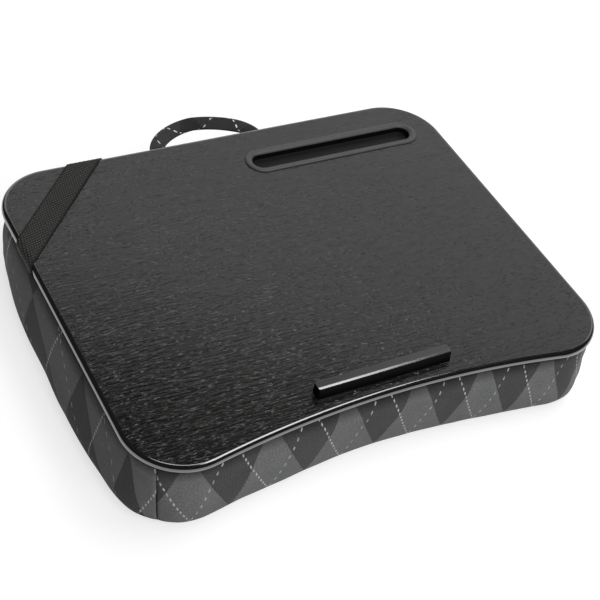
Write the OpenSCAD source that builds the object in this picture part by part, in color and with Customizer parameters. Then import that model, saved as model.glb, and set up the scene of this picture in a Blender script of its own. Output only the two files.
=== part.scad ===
// Lap desk: a round-edged board on a bead-filled cushion, with an elastic paper strap,
// a phone slot, a device ledge and a fabric carry handle.
// X runs left to right, Y from the user to the back, Z up. The cushion rests on Z = 0,
// and the origin is the middle of the whole footprint, handle included.

/* [Board] */
// Width of the board, left to right
board_w = 451; // [440:1:462]
// Depth of the board, front to back
board_d = 354; // [346:1:362]
// Thickness of the board
board_t = 8; // [7:0.5:9]
// Radius of the two back corners
back_r = 51.5; // [46:0.5:56]
// Radius of the two front corners
front_r = 51; // [46:0.5:56]
// How far the front edge dips towards the back at its middle
front_dip = 15.5; // [12:0.5:18]

/* [Cushion] */
// Height of the cushion under the board
cushion_h = 65; // [60:1:70]
// Swell past the board's edge at the corners
corner_swell = 2.6; // [1:0.1:4]
// Swell past the board's edge half way along the left and right sides
side_swell = 10; // [6:0.5:12]
// Swell past the board's edge half way along the front
front_swell = 1.5; // [1:0.5:5]
// Swell past the board's edge half way along the back
back_swell = 4; // [3:0.5:5]
// How far the cover tucks in under the board
tuck = 4; // [3:0.5:6]
// Distance from the widest line of the cover in to the edge of the bottom panel
bottom_round = 26; // [20:1:28]
// Depth of the valley between the two bolsters
valley_h = 9; // [6:1:10]
// Thickness of the cover fabric
cloth_t = 1.2; // [0.8:0.1:1.6]

/* [Strap] */
// Width of the elastic strap
strap_w = 24; // [20:1:26]
// Thickness of the elastic strap
strap_t = 1.5; // [1:0.1:1.6]
// Distance from the board's centre to where the strap crosses the back edge
strap_cross_x = 132; // [125:1:138]
// Distance from the board's centre to where the strap crosses the left edge
strap_cross_y = 78; // [72:1:84]

/* [Phone slot] */
// Length of the slot's flange
slot_l = 189; // [175:1:190]
// Width of the slot's flange
slot_w = 33; // [31:0.5:35]
// Width of the slot's mouth
mouth_w = 18; // [15:0.5:19]
// Middle of the slot, right of the board's centre
slot_x = 105; // [100:1:108]
// Middle of the slot, behind the board's centre
slot_y = 130.5; // [128:0.5:133]

/* [Device ledge] */
// Length of the ledge
ledge_l = 128; // [120:1:140]
// Height of the ledge above the board
ledge_h = 10; // [8:0.5:12]
// Depth of the ledge at its foot
ledge_d = 11; // [10:0.5:12]

/* [Handle] */
// Width of the handle's ribbon
handle_w = 14; // [12:0.5:17]
// Distance from the middle of the handle to the middle of each end
handle_half = 52; // [48:1:56]
// How far the loop stands out from its turning line
handle_reach = 36.5; // [32:0.5:40]
// Middle of the handle, right of the board's centre
handle_x = -6; // [-10:1:10]
// Thickness of the ribbon and of the lining beside its ends
ribbon_t = 1.6; // [1.5:0.1:2]

/* [Hidden] */
$fn = 96;

half_w = board_w / 2;
half_d = board_d / 2;
under_z = cushion_h;
top_z = cushion_h + board_t;
mid_z = cushion_h + board_t / 2;
lining_z = under_z - ribbon_t;

// Round edge: its radius is a little over half the thickness, so it meets the faces at a slight angle
edge_r = board_t / 2 + 0.1;

// Corner centres of the board, on its right half
front_c = [half_w - front_r, front_r - half_d];
back_c = [half_w - back_r, half_d - back_r];
// The dipped front edge is one arc, tangent to both corner arcs
dip_r = (pow(front_c.x, 2) + pow(front_r - front_dip, 2) - pow(front_r, 2)) / (2 * front_dip);
dip_y = front_dip - half_d - dip_r;
dip_a = atan2(front_c.x, front_c.y - dip_y);
// The arc sits this much deeper in the board, so that the two curves cross cleanly
dip_cross = 0.1;

// Turning line of the handle, tilt of its ribbon at the middle of the loop, how far the ribbon's
// outer edge stands past its middle line, and the middle of the whole footprint
turn_y = half_d + 1.6;
turn_z = under_z - ribbon_t / 2;
loop_tilt = 25;
loop_edge = handle_w / 2 * cos(loop_tilt) + ribbon_t / 2 * sin(loop_tilt);
middle_y = (turn_y + handle_reach + loop_edge - half_d - corner_swell) / 2;

// Phone slot: middle line of its two round ends, tub, flange and wall
slot_half = (slot_l - slot_w) / 2;
tray_t = 1.2;
tub_r = mouth_w / 2 + tray_t;
floor_r = mouth_w / 2 - 1;
flange_t = 1.6;

// Device ledge: its foot starts at its front, and two screws hold it from under the board
ledge_y = 28 - half_d;
screw_x = 45;
screw_r = 1.5;
screw_bite = 7;
head_r = 3.4;
head_h = 2;

// Strap: how far its loose middle stops short of the edges, its run under the board, its play
strap_lie = 8;
strap_tail = 24;
strap_gap = 0.1;

// Handle: run of its ends under the board, shape and sag of the loop, share in which it tilts
tab_in = 30;
loop_point = 1.25;
loop_droop = 5;
tilt_share = 0.25;
loop_n = 32;

// Staples
staple_l = 10;
staple_wire = 0.6;
staple_top = under_z + 5;

// Cushion: the cover's widest height, its flat cut, its edge's height and the valley at each end
widest_z = 0.32 * cushion_h;
crown_h = 2.2;
flat_cut = 0.5;
seam_z = crown_h - flat_cut;
end_valley = 2.5;
valley_half = 14;
divider_t = 1.2;

// Steps of the cover: round each half corner, along front and back, along a side, and down a band
corner_n = 4;
span_n = 12;
side_n = 6;
upper_n = 5;
lower_n = 4;
level_n = upper_n + lower_n;
// Lower values make the turn into the bottom squarer
corner_square = 0.45;

module at_board() {
    translate([0, -middle_y, 0]) children();
}

// Board

// Outline of the board, drawn in by a distance
module board_outline(inset) {
    long_r = front_r + 10;
    difference() {
        union() {
            translate([inset - half_w, front_c.y])
                square([board_w - 2 * inset, back_c.y - front_c.y]);
            translate([-back_c.x, back_c.y])
                square([2 * back_c.x, back_r - inset]);
            for (s = [-1, 1]) {
                translate([s * back_c.x, back_c.y])
                    circle(r = back_r - inset);
                translate([s * front_c.x, front_c.y])
                    circle(r = front_r - inset);
            }
            polygon([
                [-front_c.x, front_c.y],
                [-front_c.x + long_r * sin(dip_a), front_c.y - long_r * cos(dip_a)],
                [front_c.x - long_r * sin(dip_a), front_c.y - long_r * cos(dip_a)],
                [front_c.x, front_c.y]
            ]);
        }
        translate([0, dip_y + dip_cross])
            circle(r = dip_r + inset);
    }
}

// What the round edge takes off: a bracket round a disc, X = 0 at the disc's centre
module edge_bracket() {
    difference() {
        translate([0, -edge_r - 1])
            square([edge_r + 1, 2 * edge_r + 2]);
        circle(r = edge_r);
    }
}

module straight_edge(p, angle, length) {
    translate([p.x, p.y, mid_z])
        rotate([0, 0, angle])
            rotate([90, 0, 0])
                linear_extrude(length)
                    edge_bracket();
}

module corner_edge(c, r, start, angle) {
    translate([c.x, c.y, mid_z])
        rotate([0, 0, start])
            rotate_extrude(angle = angle)
                translate([r - edge_r, 0])
                    edge_bracket();
}

module round_edges() {
    side_l = back_c.y - front_c.y;
    straight_edge([half_w - edge_r, back_c.y], 0, side_l);
    straight_edge([-half_w + edge_r, front_c.y], 180, side_l);
    straight_edge([-back_c.x, half_d - edge_r], 90, 2 * back_c.x);
    corner_edge(back_c, back_r, 0, 90);
    corner_edge([-back_c.x, back_c.y], back_r, 90, 90);
    corner_edge([-front_c.x, front_c.y], front_r, 180, 90 + dip_a);
    corner_edge(front_c, front_r, 270 - dip_a, 90 + dip_a);
    translate([0, dip_y + dip_cross, mid_z])
        rotate([0, 0, 90 - dip_a - 1])
            rotate_extrude(angle = 2 * dip_a + 2)
                translate([dip_r + edge_r, 0])
                    mirror([1, 0])
                        edge_bracket();
}

// Two holes up through the board for the ledge's screws
module at_screws() {
    for (s = [-1, 1])
        translate([s * screw_x, ledge_y + ledge_d / 2, 0])
            children();
}

module top_board() {
    color("#2b2b2c")
        at_board()
            difference() {
                translate([0, 0, under_z])
                    linear_extrude(board_t)
                        board_outline(-0.5);
                round_edges();
                translate([slot_x, slot_y, under_z - 1])
                    linear_extrude(board_t + 2)
                        obround(slot_half, tub_r + 0.1);
                at_screws() {
                    translate([0, 0, under_z - 1])
                        cylinder(r = screw_r + 0.2, h = board_t + 2);
                    translate([0, 0, under_z - 1])
                        cylinder(r = head_r + 0.2, h = head_h + 1);
                }
            }
}

// Phone slot: a one-piece tray whose profile is turned round both ends and run along the sides

module obround(half, r) {
    square([2 * half, 2 * r], center = true);
    for (s = [-1, 1])
        translate([s * half, 0])
            circle(r = r);
}

// Wall and flange of the tray, outwards from the edge of its flat floor
module tray_profile() {
    flange_r = slot_w / 2;
    mouth_r = mouth_w / 2;
    floor_z = -board_t;
    polygon([
        [floor_r, floor_z],
        [tub_r, floor_z],
        [tub_r, 0],
        [flange_r, 0],
        [flange_r, flange_t * 0.5],
        [flange_r - 1, flange_t],
        [flange_r - 3.5, flange_t],
        [mouth_r + 0.8, 0.5],
        [mouth_r, -0.5],
        [mouth_r, floor_z + tray_t + 1],
        [floor_r, floor_z + tray_t]
    ]);
}

module phone_slot_tray() {
    color("#4a484a")
        at_board()
            translate([slot_x, slot_y, top_z]) {
                translate([0, 0, -board_t])
                    linear_extrude(tray_t)
                        obround(slot_half, floor_r);
                for (turn = [0, 180])
                    rotate([0, 0, turn]) {
                        translate([slot_half, 0, 0])
                            rotate([0, 0, -90])
                                rotate_extrude(angle = 180)
                                    tray_profile();
                        translate([-slot_half, 0, 0])
                            rotate([90, 0, 90])
                                linear_extrude(2 * slot_half)
                                    tray_profile();
                    }
            }
}

// Device ledge: a bar with a sloped front, a rounded upper front edge and rounded ends

module ledge_profile() {
    nose_r = 1.6;
    lean = 2.4;
    difference() {
        ledge_section(nose_r, lean);
        translate([ledge_d - 1, ledge_h - 1])
            square(2);
    }
}

// The ledge's section before its rear bevel: a polygon and the circle of its rounded nose
module ledge_section(nose_r, lean) {
    nose = [lean + nose_r, ledge_h - nose_r];
    polygon([
        [0, 0],
        [ledge_d, 0],
        [ledge_d, ledge_h],
        [nose.x, ledge_h],
        nose,
        [nose.x - nose_r, nose.y]
    ]);
    translate(nose)
        circle(r = nose_r);
}

module device_ledge() {
    end_r = 2.5;
    color("#1c1c1d")
        at_board()
            difference() {
                intersection() {
                    translate([-ledge_l / 2, ledge_y, top_z])
                        rotate([90, 0, 90])
                            linear_extrude(ledge_l)
                                ledge_profile();
                    translate([0, 0, top_z - 1])
                        linear_extrude(ledge_h + 2) {
                            translate([-ledge_l / 2 + end_r, ledge_y - 1])
                                square([ledge_l - 2 * end_r, ledge_d + 2]);
                            translate([-ledge_l / 2, ledge_y + end_r])
                                square([ledge_l, ledge_d - 2 * end_r]);
                            for (x = [-1, 1], y = [end_r, ledge_d - end_r])
                                translate([x * (ledge_l / 2 - end_r), ledge_y + y])
                                    circle(r = end_r);
                        }
                }
                at_screws()
                    translate([0, 0, top_z - 1])
                        cylinder(r = screw_r, h = screw_bite + 1);
            }
}

module ledge_screws() {
    color("#8d8f92")
        at_board()
            at_screws()
                difference() {
                    union() {
                        translate([0, 0, under_z])
                            cylinder(r = head_r, h = head_h);
                        translate([0, 0, under_z])
                            cylinder(r = screw_r, h = board_t + screw_bite - 1);
                        translate([0, 0, top_z + screw_bite - 1])
                            cylinder(r1 = screw_r, r2 = 0.4, h = 1);
                    }
                    for (turn = [0, 90])
                        rotate([0, 0, turn])
                            translate([-1.6, -0.35, under_z - 1])
                                cube([3.2, 0.7, 1.8]);
                }
}

// Elastic strap. On the board it is flat; at each end it turns over the round edge and runs
// on under the board. Its slant carries on round the edge, as it does on a real strap.

// How far the strap moves along each edge for every millimetre that it goes outwards
back_slant = (half_w - strap_cross_x) / (half_d - strap_cross_y);
side_slant = 1 / back_slant;
strap_dir = [half_w - strap_cross_x, half_d - strap_cross_y] / norm([half_w - strap_cross_x, half_d - strap_cross_y]);

// Length of the strap's cut along the back edge and along the side edge
back_cut = strap_w / strap_dir.y;
side_cut = strap_w / strap_dir.x;

// Path across an edge, as [distance outside the edge, height, outward part and upward part of the normal]
function wrap_path(lie, tail) = concat(
    [[-lie, top_z, 0, 1]],
    [for (a = [90:-15:-90])
        [edge_r * cos(a) - edge_r, mid_z + board_t / 2 * sin(a), cos(a), sin(a)]],
    [[-tail, under_z, 0, -1]]
);

// Distance run along a path up to each of its points
function path_run(path, i) =
    i == 0 ? 0 : path_run(path, i - 1) + norm([path[i][0] - path[i - 1][0], path[i][1] - path[i - 1][1]]);

// Sideways drift of the strap under the board, a distance in from the edge
function under_drift(slant, in) =
    let (path = wrap_path(strap_lie, strap_tail))
    slant * (path_run(path, len(path) - 2) - strap_lie + in - edge_r);

// A ribbon over an edge that runs along X: cut is its length along the edge, slant its drift
module wrapped_ribbon(cut, slant) {
    path = wrap_path(strap_lie, strap_tail);
    n = len(path);
    function ring(i) =
        let (p = path[i], along = slant * (path_run(path, i) - strap_lie))
        [for (c = [[0, 0], [cut, 0], [cut, strap_t], [0, strap_t]])
            [along + c.x, p[0] + c.y * p[2], p[1] + c.y * p[3]]];
    loft([for (i = [0:n - 1]) ring(i)]);
}

module elastic_strap() {
    lie = strap_lie;
    back_x = -strap_cross_x - back_cut / 2 - lie * back_slant;
    side_y = strap_cross_y - side_cut / 2 + lie * side_slant;
    color("#232224")
        at_board()
            translate([0, 0, top_z + strap_gap])
                linear_extrude(strap_t)
                    polygon([
                        [-half_w + lie, side_y],
                        [back_x + back_cut, half_d - lie],
                        [back_x, half_d - lie],
                        [-half_w + lie, side_y + side_cut]
                    ]);
}

module strap_back_end() {
    color("#232224")
        at_board()
            translate([-strap_cross_x - back_cut / 2, half_d, 0])
                wrapped_ribbon(back_cut, back_slant);
}

module strap_side_end() {
    color("#232224")
        at_board()
            translate([-half_w, strap_cross_y - side_cut / 2, 0])
                rotate([0, 0, 90])
                    wrapped_ribbon(side_cut, -side_slant);
}

// Staples: a crown with two legs that go up into the board

module staple() {
    leg_h = staple_top - lining_z;
    translate([-staple_l / 2, -staple_wire / 2, 0])
        cube([staple_l, staple_wire, staple_wire]);
    for (x = [-staple_l / 2, staple_l / 2 - staple_wire])
        translate([x, -staple_wire / 2, 0])
            cube([staple_wire, staple_wire, leg_h]);
}

module strap_staples() {
    in = 16;
    color("#b9bbbe")
        at_board()
            translate([0, 0, lining_z + 0.1])
                for (side = [-1, 1]) {
                    translate([-strap_cross_x + under_drift(back_slant, in) + side * 7, half_d - in, 0])
                        staple();
                    translate([in - half_w, strap_cross_y - under_drift(side_slant, in) + side * 7, 0])
                        rotate([0, 0, 90])
                            staple();
                }
}

// Handle: a padded ribbon fixed under the board at both ends. The loop lies almost flat behind the
// board, and its outer edge is tilted up.

// Middle line of the loop at a share of its length
function loop_at(u) =
    let (a = 180 * u, c = cos(a), s = sin(a))
    [handle_x - handle_half * sign(c) * pow(abs(c), loop_point),
     turn_y + handle_reach * pow(max(s, 0), loop_point),
     turn_z - loop_droop * s * s];

// Tilt of the ribbon, nothing at both ends
function tilt_at(u) =
    let (t = min(1, min(u, 1 - u) / tilt_share))
    loop_tilt * t * t * (3 - 2 * t);

function unit(v) = v / norm(v);

function loop_ring(u) =
    let (
        p = loop_at(u),
        t = unit(loop_at(min(1, u + 0.004)) - loop_at(max(0, u - 0.004))),
        flat = unit([t.y, -t.x, 0]),
        wide = unit(cos(tilt_at(u)) * flat - sin(tilt_at(u)) * [0, 0, 1]),
        thick = cross(wide, t)
    )
    [for (c = [[-1, -1], [1, -1], [1, 1], [-1, 1]])
        p + wide * c.x * handle_w / 2 + thick * c.y * ribbon_t / 2];

module handle_loop() {
    color("#5a5b5e")
        at_board()
            loft([for (i = [0:loop_n]) loop_ring(i / loop_n)]);
}

module handle_tab(side) {
    end_y = turn_y - ribbon_t / 2 - 0.25;
    color("#5a5b5e")
        at_board()
            translate([handle_x + side * handle_half - handle_w / 2, half_d - tab_in, lining_z])
                cube([handle_w, end_y - half_d + tab_in, ribbon_t]);
}

module handle_left_tab() {
    handle_tab(-1);
}

module handle_right_tab() {
    handle_tab(1);
}

module handle_staples() {
    color("#b9bbbe")
        at_board()
            for (side = [-1, 1], in = [12, 22])
                translate([handle_x + side * handle_half, half_d - in, lining_z + 0.1])
                    staple();
}

// Lining: the sheet that closes the cushion's top and lies against the board. It is cut out where
// the strap's and the handle's ends pass through its thickness.

module cushion_lining() {
    room = 0.3;
    color("#3a3a3c")
        at_board()
            translate([0, 0, lining_z])
                linear_extrude(ribbon_t)
                    difference() {
                        board_outline(tuck);
                        translate([-strap_cross_x - back_cut / 2, half_d])
                            tail_room(back_cut, back_slant, room);
                        translate([-half_w, strap_cross_y - side_cut / 2])
                            rotate(90)
                                tail_room(side_cut, -side_slant, room);
                        for (side = [-1, 1])
                            translate([handle_x + side * handle_half - handle_w / 2 - room, half_d - tab_in - room])
                                square([handle_w + 2 * room, tab_in + room + 1]);
                    }
}

// The strap's run under the board, seen from above, with room round it
module tail_room(cut, slant, room) {
    near = 0;
    far = strap_tail + room;
    polygon([
        [under_drift(slant, near) - room, -near],
        [under_drift(slant, near) + cut + room, -near],
        [under_drift(slant, far) + cut + room, -far],
        [under_drift(slant, far) - room, -far]
    ]);
}

module cover_staples() {
    in = 13;
    color("#b9bbbe")
        at_board()
            translate([0, 0, lining_z]) {
                for (x = [0, 95, 155])
                    translate([x, half_d - in, 0])
                        staple();
                for (x = [-130, -45, 45, 130])
                    translate([x, dip_y + sqrt(pow(dip_r + in, 2) - x * x), 0])
                        staple();
                for (y = [-95, -35, 35, 95])
                    translate([half_w - in, y, 0])
                        rotate([0, 0, 90])
                            staple();
                for (y = [-95, -35, 20, 115])
                    translate([in - half_w, y, 0])
                        rotate([0, 0, 90])
                            staple();
            }
}

// Cushion cover. Four side bands meet at seams on the corners, and a bottom panel closes them.
// Each band starts tucked under the board, swells out past its edge and turns in underneath.

// A point of the board's outline is [x, y, outward x, outward y, share of the swell]
function arc_points(c, r, from, to) =
    [for (i = [0:corner_n]) let (a = from + (to - from) * i / corner_n)
        [c.x + r * cos(a), c.y + r * sin(a), cos(a), sin(a), 0]];

// Steps from -1 to 1 without the ends, closer together in the middle, where the valley is
middle_steps = [for (i = [1:span_n - 1]) let (t = 2 * i / span_n - 1) sign(t) * pow(abs(t), 1.6)];

function mirrored(points) = [for (i = [len(points) - 1:-1:0]) let (p = points[i]) [-p[0], p[1], -p[2], p[3], p[4]]];

// Outline of each side, corner seam to corner seam, from left to right as seen from outside
front_corner = arc_points([-front_c.x, front_c.y], front_r, 225, 270 + dip_a);
front_line = concat(
    front_corner,
    [for (t = middle_steps) let (a = dip_a * t)
        [dip_r * sin(a), dip_y + dip_r * cos(a), -sin(a), -cos(a), 1 - t * t]],
    mirrored(front_corner)
);
back_corner = arc_points(back_c, back_r, 45, 90);
back_line = concat(
    back_corner,
    [for (t = middle_steps) [-back_c.x * t, half_d, 0, 1, 1 - t * t]],
    mirrored(back_corner)
);
left_line = concat(
    arc_points([-back_c.x, back_c.y], back_r, 135, 180),
    [for (i = [1:side_n - 1]) let (t = i / side_n)
        [-half_w, back_c.y + (front_c.y - back_c.y) * t, -1, 0, pow(sin(180 * t), 0.7)]],
    arc_points([-front_c.x, front_c.y], front_r, 180, 225)
);
right_line = mirrored(left_line);

// Lift of the cover's underside along the middle, between the two bolsters
function valley(x, h) = h * exp(-pow(x / valley_half, 2));

// A point of a band: level 0 is its top edge and level_n its bottom edge; depth 0 is the outer face
function band_point(p, level, swell_mid, depth) =
    let (
        swell = corner_swell + (swell_mid - corner_swell) * p[4],
        up = min(1, level / upper_n),
        low = max(0, (level - upper_n) / lower_n),
        a = 90 * low,
        out = level <= upper_n
            ? (swell + tuck) * pow(sin(90 * up), 0.9) - tuck
            : swell - bottom_round * (1 - pow(cos(a), corner_square)),
        off = out - depth * cos(a),
        z = lining_z + (widest_z - lining_z) * up + (seam_z - widest_z) * pow(sin(a), corner_square)
    )
    [p[0] + p[2] * off, p[1] + p[3] * off, z + depth * sin(a) + valley(p[0], end_valley) * low * low];

function band_grid(line, swell_mid, depth) =
    [for (level = [0:level_n]) [for (p = line) band_point(p, level, swell_mid, depth)]];

// Bottom panel: its edge follows the bands, and its inside is blended across from them
function panel_edge(line, swell_mid) = [for (p = line) band_point(p, level_n, swell_mid, 0)];

function blend(low, high, t) = low + (high - low) * t;

function patch_point(f, b, l, r, i, j) =
    let (u = i / (len(f) - 1), v = j / (len(l) - 1), ni = len(f) - 1, nj = len(l) - 1)
    blend(f[i], b[i], v) + blend(l[j], r[j], u)
    - blend(blend(f[0], f[ni], u), blend(b[0], b[ni], u), v);

function reversed(list) = [for (i = [len(list) - 1:-1:0]) list[i]];

panel_front = panel_edge(front_line, front_swell);
panel_back = reversed(panel_edge(back_line, back_swell));
panel_left = reversed(panel_edge(left_line, side_swell));
panel_right = panel_edge(right_line, side_swell);
ni = len(panel_front) - 1;
nj = len(panel_left) - 1;

// Underside of the panel: near its edge it rises, it is cut flat where it stands, and the valley
// runs down its middle
function panel_point(i, j) =
    let (
        p = patch_point(panel_front, panel_back, panel_left, panel_right, i, j),
        s = 2 * i / ni - 1,
        w = 2 * j / nj - 1,
        rim = 1 - (1 - pow(s, 6)) * (1 - pow(w, 6)),
        h = end_valley + (valley_h - end_valley) * (1 - pow(w, 4))
    )
    [p.x, p.y, max(0, crown_h * rim - flat_cut + valley(p.x, h))];

// Two matching grids of points joined into one closed sheet
module sheet(outer, inner) {
    rows = len(outer) - 1;
    cols = len(outer[0]) - 1;
    function o(k, i) = k * (cols + 1) + i;
    function n(k, i) = (rows + 1) * (cols + 1) + o(k, i);
    points = concat([for (row = outer) for (p = row) p], [for (row = inner) for (p = row) p]);
    quads = concat(
        [for (k = [0:rows - 1], i = [0:cols - 1]) [o(k, i), o(k, i + 1), o(k + 1, i + 1), o(k + 1, i)]],
        [for (k = [0:rows - 1], i = [0:cols - 1]) [n(k + 1, i), n(k + 1, i + 1), n(k, i + 1), n(k, i)]],
        [for (i = [0:cols - 1]) [n(0, i), n(0, i + 1), o(0, i + 1), o(0, i)]],
        [for (i = [0:cols - 1]) [o(rows, i), o(rows, i + 1), n(rows, i + 1), n(rows, i)]],
        [for (k = [0:rows - 1]) [n(k, 0), o(k, 0), o(k + 1, 0), n(k + 1, 0)]],
        [for (k = [0:rows - 1]) [o(k, cols), n(k, cols), n(k + 1, cols), o(k + 1, cols)]]
    );
    polyhedron(points, triangles(quads));
}

function triangles(quads) = [for (q = quads) each [[q[0], q[1], q[2]], [q[0], q[2], q[3]]]];

// Rings of points joined into one closed tube
module loft(rings) {
    m = len(rings[0]);
    last = (len(rings) - 1) * m;
    quads = [for (k = [0:len(rings) - 2], i = [0:m - 1])
        [k * m + i, k * m + (i + 1) % m, (k + 1) * m + (i + 1) % m, (k + 1) * m + i]];
    caps = concat(
        [for (i = [1:m - 2]) [0, i + 1, i]],
        [for (i = [1:m - 2]) [last, last + i, last + i + 1]]
    );
    polyhedron([for (ring = rings) each ring], concat(triangles(quads), caps));
}

module band(line, swell_mid) {
    color("#5a5b5e")
        at_board()
            sheet(band_grid(line, swell_mid, 0), band_grid(line, swell_mid, cloth_t));
}

module front_band() {
    band(front_line, front_swell);
}

module right_band() {
    band(right_line, side_swell);
}

module back_band() {
    band(back_line, back_swell);
}

module left_band() {
    band(left_line, side_swell);
}

module bottom_panel() {
    under = [for (j = [0:nj]) [for (i = [0:ni]) panel_point(i, j)]];
    color("#2f2f31")
        at_board()
            sheet(under, [for (row = under) [for (p = row) p + [0, 0, cloth_t]]]);
}

// Divider: the strip sewn between lining and bottom panel that parts the two bolsters

module centre_divider() {
    mid = ni / 2;
    front = [for (level = [0:level_n]) band_point(front_line[mid], level, front_swell, cloth_t)];
    back = [for (level = [level_n:-1:0]) band_point(back_line[mid], level, back_swell, cloth_t)];
    floor = [for (j = [1:nj - 1]) panel_point(mid, j) + [0, 0, cloth_t]];
    color("#3a3a3c")
        at_board()
            translate([-divider_t / 2, 0, 0])
                rotate([90, 0, 90])
                    linear_extrude(divider_t)
                        polygon([for (p = concat(front, floor, back)) [p.y, p.z]]);
}

// Bead fill of one bolster: it fills the cover from the left side to the divider

half_i = ni / 2;
ring_steps = concat(
    [for (i = [0:half_i - 1]) [i, 0]],
    [for (j = [0:nj - 1]) [half_i, j]],
    [for (i = [half_i:-1:1]) [i, nj]],
    [for (j = [nj:-1:1]) [0, j]]
);

// Place of an edge step in a ring
function ring_index(i, j) =
    j == 0 ? i : i == half_i ? half_i + j : j == nj ? 2 * half_i + nj - i : 2 * (half_i + nj) - j;

function at_divider(p) = [-divider_t / 2, p.y, p.z];

function fill_wall(level, i, j) =
    j == 0 && i < half_i ? band_point(front_line[i], level, front_swell, cloth_t)
    : j == nj && i < half_i ? band_point(back_line[ni - i], level, back_swell, cloth_t)
    : i == 0 ? band_point(left_line[nj - j], level, side_swell, cloth_t)
    : let (
        front = band_point(front_line[half_i], level, front_swell, cloth_t),
        back = band_point(back_line[half_i], level, back_swell, cloth_t),
        edge_a = panel_point(half_i, 0),
        edge_b = panel_point(half_i, nj),
        floor = panel_point(half_i, j),
        share = (floor.y - edge_a.y) / (edge_b.y - edge_a.y),
        drop = (lining_z - front.z) / (lining_z - edge_a.z - cloth_t)
    )
    at_divider([0, blend(front.y, back.y, share), blend(lining_z, floor.z + cloth_t, drop)]);

// Its faces are parted along the same diagonals as the cover's, which differ from side to side
module bolster_fill(turn) {
    rings = [for (level = [0:level_n]) [for (s = ring_steps) fill_wall(level, s[0], s[1])]];
    m = len(ring_steps);
    count = m * (level_n + 1);
    inside = (half_i - 1) * (nj - 1);
    front = [for (i = [0:half_i]) fill_wall(0, i, 0)];
    back = [for (i = [0:half_i]) fill_wall(0, i, nj)];
    left = [for (j = [0:nj]) fill_wall(0, 0, j)];
    right = [for (j = [0:nj]) fill_wall(0, half_i, j)];
    top_inside = [for (j = [1:nj - 1], i = [1:half_i - 1]) patch_point(front, back, left, right, i, j)];
    floor_inside = [for (j = [1:nj - 1], i = [1:half_i - 1]) panel_point(i, j) + [0, 0, cloth_t]];
    function on_edge(i, j) = i == 0 || i == half_i || j == 0 || j == nj;
    function inner(i, j) = (j - 1) * (half_i - 1) + i - 1;
    function top(i, j) = on_edge(i, j) ? ring_index(i, j) % m : count + inner(i, j);
    function low(i, j) = on_edge(i, j) ? level_n * m + ring_index(i, j) % m : count + inside + inner(i, j);
    quads = concat(
        [for (k = [0:level_n - 1], i = [0:m - 1])
            [k * m + i, k * m + (i + 1) % m, (k + 1) * m + (i + 1) % m, (k + 1) * m + i]],
        [for (j = [0:nj - 1], i = [0:half_i - 1]) [low(i, j), low(i + 1, j), low(i + 1, j + 1), low(i, j + 1)]],
        [for (j = [0:nj - 1], i = [0:half_i - 1]) [top(i, j + 1), top(i + 1, j + 1), top(i + 1, j), top(i, j)]]
    );
    parted = [for (q = quads) [for (i = [0:3]) q[(i + turn) % 4]]];
    polyhedron(concat([for (ring = rings) each ring], top_inside, floor_inside), triangles(parted));
}

module left_bolster_fill() {
    color("#d9d9d6")
        at_board()
            bolster_fill(1);
}

module right_bolster_fill() {
    color("#d9d9d6")
        at_board()
            mirror([1, 0, 0])
                bolster_fill(0);
}

top_board();
phone_slot_tray();
device_ledge();
ledge_screws();
elastic_strap();
strap_side_end();
strap_back_end();
strap_staples();
handle_loop();
handle_left_tab();
handle_right_tab();
handle_staples();
cushion_lining();
cover_staples();
front_band();
right_band();
back_band();
left_band();
bottom_panel();
centre_divider();
left_bolster_fill();
right_bolster_fill();
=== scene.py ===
import math

import bmesh
import bpy
from mathutils import Euler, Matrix, Quaternion, Vector, noise


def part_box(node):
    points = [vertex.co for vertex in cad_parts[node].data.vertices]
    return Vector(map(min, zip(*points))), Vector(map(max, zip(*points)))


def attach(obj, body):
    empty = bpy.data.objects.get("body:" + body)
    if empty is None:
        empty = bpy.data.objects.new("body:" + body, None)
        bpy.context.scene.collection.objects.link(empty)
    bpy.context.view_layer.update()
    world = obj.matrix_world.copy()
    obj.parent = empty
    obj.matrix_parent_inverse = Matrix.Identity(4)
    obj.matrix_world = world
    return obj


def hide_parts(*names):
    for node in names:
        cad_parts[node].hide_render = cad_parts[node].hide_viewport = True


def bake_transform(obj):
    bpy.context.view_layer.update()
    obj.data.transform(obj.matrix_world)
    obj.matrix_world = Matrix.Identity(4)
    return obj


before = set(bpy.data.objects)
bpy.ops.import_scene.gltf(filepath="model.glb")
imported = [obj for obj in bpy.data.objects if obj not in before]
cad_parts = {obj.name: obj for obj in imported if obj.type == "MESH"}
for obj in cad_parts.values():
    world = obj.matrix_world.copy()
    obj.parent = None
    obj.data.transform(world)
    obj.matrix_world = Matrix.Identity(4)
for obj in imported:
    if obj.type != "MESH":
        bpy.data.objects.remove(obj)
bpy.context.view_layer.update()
scene = bpy.context.scene

boardLow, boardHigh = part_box("top_board")
trayLow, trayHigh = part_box("phone_slot_tray")
ledgeLow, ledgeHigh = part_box("device_ledge")
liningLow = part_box("cushion_lining")[0]
leftTabLow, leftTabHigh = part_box("handle_left_tab")
rightTabLow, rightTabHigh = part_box("handle_right_tab")

middleY = (boardLow.y + boardHigh.y) / 2
underZ = boardLow.z
topZ = boardHigh.z
halfThick = (topZ - underZ) / 2


# shader maths

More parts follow.
